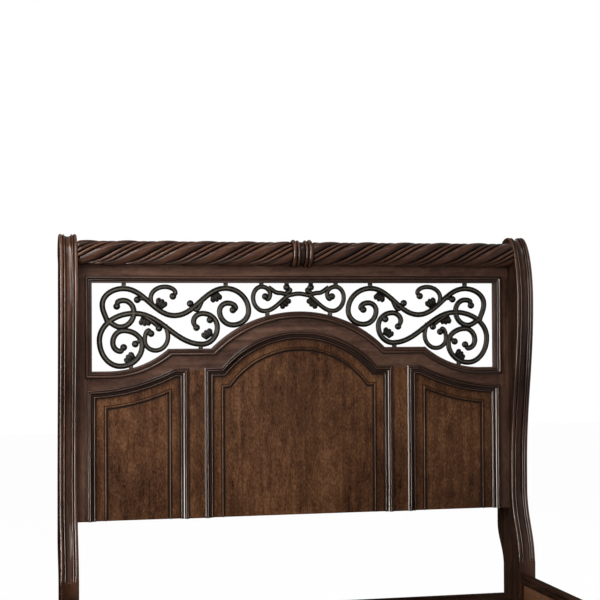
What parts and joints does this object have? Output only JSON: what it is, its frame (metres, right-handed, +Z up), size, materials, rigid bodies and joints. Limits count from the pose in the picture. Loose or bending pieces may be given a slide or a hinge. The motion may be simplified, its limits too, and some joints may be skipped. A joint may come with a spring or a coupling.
{
  "type": "sleigh bed",
  "caption": "Carved dark-wood sleigh bed with curled posts, rope-twist rolls, framed panels, wrought-iron scrollwork, side rails, slats and levelling centre legs.",
  "frame": {"origin": "on the floor under the middle of the bed's overall box", "axes": "+X across the bed to the right of someone who stands at the foot and faces the headboard, +Y towards the headboard, +Z up"},
  "size_m": [1.706, 2.288, 1.67],
  "materials": {
    "dark_wood": "dark brown satin lacquer over horizontal and vertical grain, glaze in the grooves",
    "panel_wood": "warm brown satin lacquer over mottled vertical grain",
    "wrought_iron": "dark bronze-black, satin, hand-rubbed",
    "hook_steel": "zinc plated",
    "slat_pine": "sanded, unfinished",
    "glide_plastic": "moulded"
  },
  "bodies": {
    "bed": {"headboard_post_left": "dark_wood", "headboard_post_right": "dark_wood", "footboard_post_left": "dark_wood", "footboard_post_right": "dark_wood", "head_hook_plate_left": "hook_steel", "foot_hook_plate_left": "hook_steel", "head_hook_plate_right": "hook_steel", "foot_hook_plate_right": "hook_steel", "headboard_rope_roll_left": "dark_wood", "headboard_rope_roll_right": "dark_wood", "footboard_rope_roll_left": "dark_wood", "footboard_rope_roll_right": "dark_wood", "headboard_roll_collar": "dark_wood", "footboard_roll_collar": "dark_wood", "headboard_panel_left": "panel_wood", "headboard_panel_moulding_left": "dark_wood", "headboard_panel_centre": "panel_wood", "headboard_panel_moulding_centre": "dark_wood", "headboard_panel_right": "panel_wood", "headboard_panel_moulding_right": "dark_wood", "headboard_arch_rail": "dark_wood", "headboard_stile_left": "panel_wood", "headboard_mullion_left": "panel_wood", "headboard_stile_right": "panel_wood", "headboard_mullion_right": "panel_wood", "headboard_top_rail": "dark_wood", "headboard_opening_moulding": "dark_wood", "headboard_rear_batten": "dark_wood", "headboard_lower_rail": "dark_wood", "headboard_scroll_left": "wrought_iron", "headboard_scroll_right": "wrought_iron", "headboard_scroll_centre": "wrought_iron", "footboard_top_rail": "dark_wood", "footboard_bottom_rail": "dark_wood", "footboard_stile_left": "panel_wood", "footboard_mullion_left": "panel_wood", "footboard_stile_right": "panel_wood", "footboard_mullion_right": "panel_wood", "footboard_panel_left": "panel_wood", "footboard_panel_moulding_left": "dark_wood", "footboard_panel_centre": "panel_wood", "footboard_panel_moulding_centre": "dark_wood", "footboard_panel_right": "panel_wood", "footboard_panel_moulding_right": "dark_wood", "side_rail_left": "dark_wood", "side_rail_cap_left": "dark_wood", "slat_cleat_left": "slat_pine", "side_rail_right": "dark_wood", "side_rail_cap_right": "dark_wood", "slat_cleat_right": "slat_pine", "slat_1": "slat_pine", "slat_2": "slat_pine", "slat_3": "slat_pine", "slat_4": "slat_pine", "slat_5": "slat_pine", "centre_leg_1": "slat_pine", "centre_leg_2": "slat_pine"},
    "glide_1": {"levelling_glide_1": "glide_plastic"},
    "glide_2": {"levelling_glide_2": "glide_plastic"}
  },
  "joints": [
    {"name": "glide_1_travel", "type": "slide", "parent": "bed", "child": "glide_1", "axis": [0, 0, -1], "range_m": [-0.006, 0.012]},
    {"name": "glide_2_travel", "type": "slide", "parent": "bed", "child": "glide_2", "axis": [0, 0, -1], "range_m": [-0.006, 0.012]}
  ]
}
